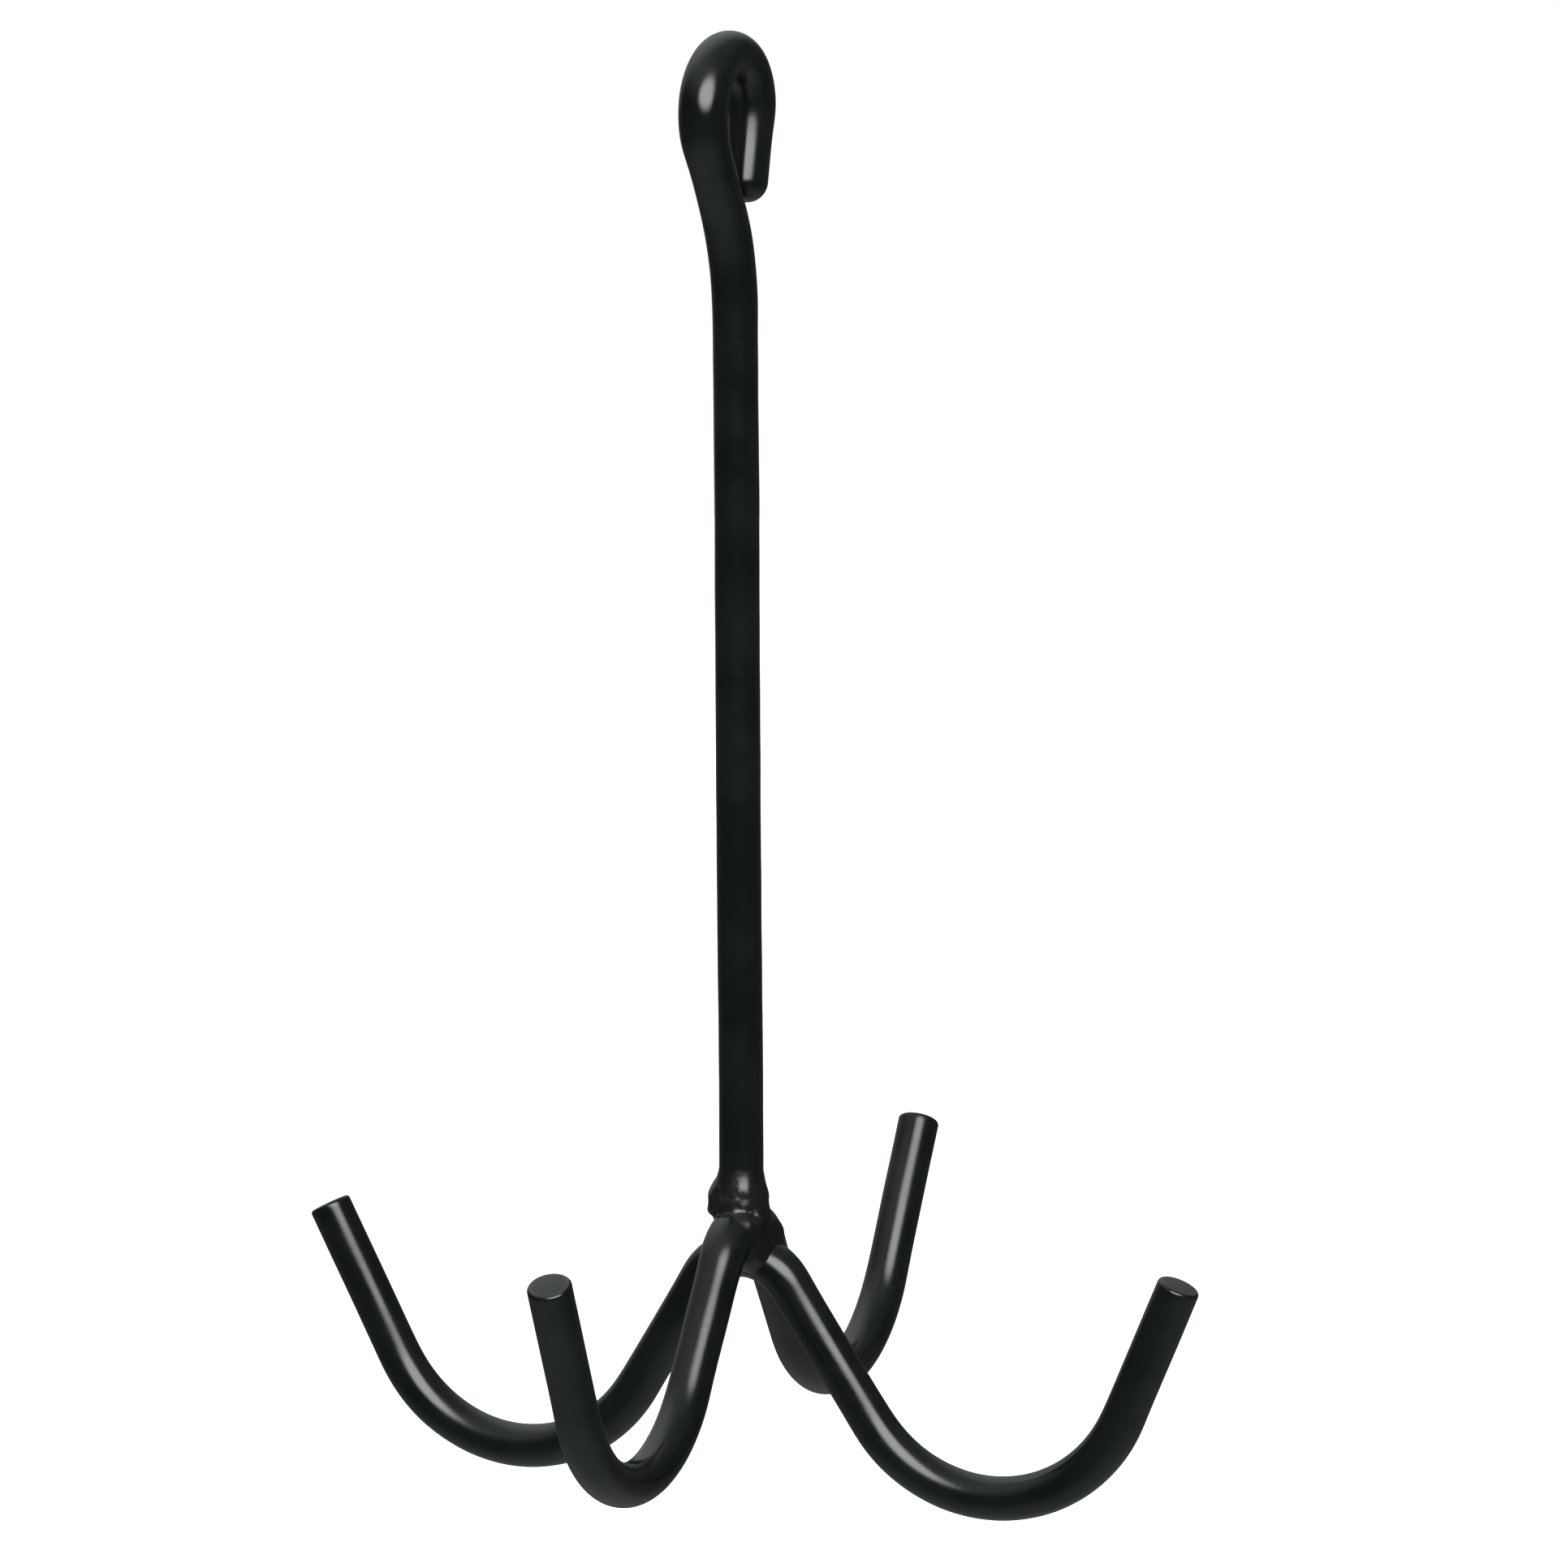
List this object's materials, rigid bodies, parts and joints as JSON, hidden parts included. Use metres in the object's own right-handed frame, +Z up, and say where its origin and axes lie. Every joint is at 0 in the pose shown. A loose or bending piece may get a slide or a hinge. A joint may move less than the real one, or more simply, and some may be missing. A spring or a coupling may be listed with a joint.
{
  "type": "four-prong hanging hook",
  "caption": "Hanging multi-prong tack hook of black coated round steel bar: a straight shank with a bent eye on top, welded to crossed double hooks whose prongs curve up around it.",
  "frame": {"origin": "the hanging point, on the shank's axis under the top of the eye", "axes": "+Z up along the shank, +X and -X towards the prongs of the lower cross rod, -Y (front) and +Y towards those of the upper one"},
  "size_m": [0.1779, 0.181, 0.2722],
  "materials": {
    "bar_coating": "glossy black coating, fine orange peel",
    "weld_coating": "the same black coating over rippled weld metal"
  },
  "bodies": {
    "root": {"shank_rod": "bar_coating", "upper_cross_rod": "bar_coating", "lower_cross_rod": "bar_coating", "shank_weld_left": "weld_coating", "shank_weld_right": "weld_coating", "cross_weld_front_right": "weld_coating", "cross_weld_front_left": "weld_coating", "cross_weld_back_left": "weld_coating", "cross_weld_back_right": "weld_coating"}
  },
  "joints": []
}
